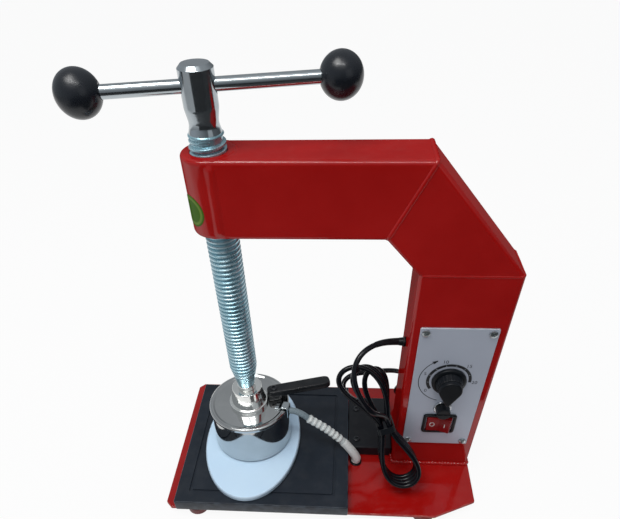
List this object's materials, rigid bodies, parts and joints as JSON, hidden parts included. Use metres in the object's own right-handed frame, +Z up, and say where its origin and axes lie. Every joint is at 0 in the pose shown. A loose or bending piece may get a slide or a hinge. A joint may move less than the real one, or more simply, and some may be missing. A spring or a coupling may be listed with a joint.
{
  "type": "tire vulcanizer",
  "caption": "Bench vulcanizing press: a welded C frame on a base plate, a hand screw with a sliding tommy bar, a round heater over a flat platen, and a side control panel.",
  "frame": {"origin": "middle of the footprint on the surface that the feet stand on", "axes": "+Z up along the screw, +X from the screw to the column, +Y away from the control panel"},
  "size_m": [0.3196, 0.181, 0.3916],
  "materials": {
    "red_paint": "gloss red paint over welded steel",
    "foot_rubber": "dark red moulded rubber",
    "zinc_steel": "bright zinc plate",
    "chrome_plate": "polished plate",
    "ball_plastic": "gloss black moulding",
    "handle_plastic": "black moulding",
    "platen_black": "matt black casting",
    "cover_black": "black paint",
    "press_aluminium": "satin machined",
    "element_steel": "heat-dulled steel",
    "mica_board": "pressed insulating board",
    "green_film": "printed film, blank",
    "panel_metal": "pale grey satin plate",
    "housing_plastic": "black moulding",
    "rocker_plastic": "red translucent moulding",
    "cord_rubber": "black sheath",
    "sleeve_fabric": "woven glass sleeve",
    "boot_rubber": "white moulded rubber",
    "pin_brass": "turned pins"
  },
  "bodies": {
    "frame": {"base_plate": "red_paint", "feet": "foot_rubber", "foot_bolts": "zinc_steel", "column": "red_paint", "diagonal": "red_paint", "arm": "red_paint", "screw_boss": "red_paint", "boss_sticker": "green_film", "lower_platen": "platen_black", "platen_element": "element_steel", "platen_sheet": "mica_board", "platen_bolts": "zinc_steel", "terminal_cover": "cover_black", "cover_screws": "zinc_steel", "lead_boot": "boot_rubber", "lead_grommet": "cord_rubber", "control_panel": "panel_metal", "panel_screws": "zinc_steel", "timer_body": "housing_plastic", "fuse_holder": "housing_plastic", "switch_housing": "housing_plastic", "cord_gland": "housing_plastic", "power_cord": "cord_rubber", "cord_hank": "cord_rubber", "cord_tie": "housing_plastic", "cord_tail": "cord_rubber", "plug_body": "housing_plastic", "plug_pins": "pin_brass"},
    "nose": {"swivel_ring": "chrome_plate", "thrust_washer": "zinc_steel"},
    "screw": {"press_screw": "zinc_steel"},
    "bar": {"tommy_bar": "chrome_plate", "bar_balls": "ball_plastic"},
    "heater": {"heater_socket": "chrome_plate", "heater_cover": "chrome_plate", "heater_wall": "chrome_plate", "heater_sole": "press_aluminium", "heater_element": "element_steel", "heater_disc": "mica_board", "heater_post": "zinc_steel", "heater_handle": "handle_plastic", "handle_screw": "zinc_steel", "lead_clip": "chrome_plate", "lead_sleeve": "sleeve_fabric"},
    "oval_plate": {"press_plate": "press_aluminium"},
    "knob": {"timer_shaft": "zinc_steel", "timer_knob": "housing_plastic"},
    "fuse": {"fuse_cap": "housing_plastic"},
    "rocker": {"switch_rocker": "rocker_plastic"}
  },
  "joints": [
    {"name": "press", "type": "slide", "parent": "frame", "child": "nose", "axis": [0, 0, 1], "range_m": [0, 0.11], "deforming": ["lead_boot"]},
    {"name": "screw_turn", "type": "hinge", "parent": "nose", "child": "screw", "pos_m": [-0.07318, -0.002, 0.314], "axis": [0, 0, 1], "range_deg": [0, 9900]},
    {"name": "bar_slide", "type": "slide", "parent": "screw", "child": "bar", "axis": [0.9816, 0.1908, 0], "range_m": [-0.064, 0.046]},
    {"name": "heater_swivel", "type": "hinge", "parent": "nose", "child": "heater", "pos_m": [-0.07318, -0.002, 0.094], "axis": [0, 0, 1], "range_deg": [-20, 20]},
    {"name": "plate_slide", "type": "slide", "parent": "frame", "child": "oval_plate", "axis": [0, -1, 0], "range_m": [0, 0.06]},
    {"name": "timer_turn", "type": "hinge", "parent": "frame", "child": "knob", "pos_m": [0.11832, -0.0235, 0.142], "axis": [0, 1, 0], "range_deg": [0, 290]},
    {"name": "fuse_turn", "type": "hinge", "parent": "frame", "child": "fuse", "pos_m": [0.11832, -0.0235, 0.106], "axis": [0, 1, 0], "range_deg": [-60, 0]},
    {"name": "rocker_tip", "type": "hinge", "parent": "frame", "child": "rocker", "pos_m": [0.11832, -0.0215, 0.083], "axis": [0, 0, 1], "range_deg": [0, 20]}
  ],
  "couplings": [
    {"joint": "screw_turn", "follows": "press", "rad_per_m": 1570.8}
  ]
}
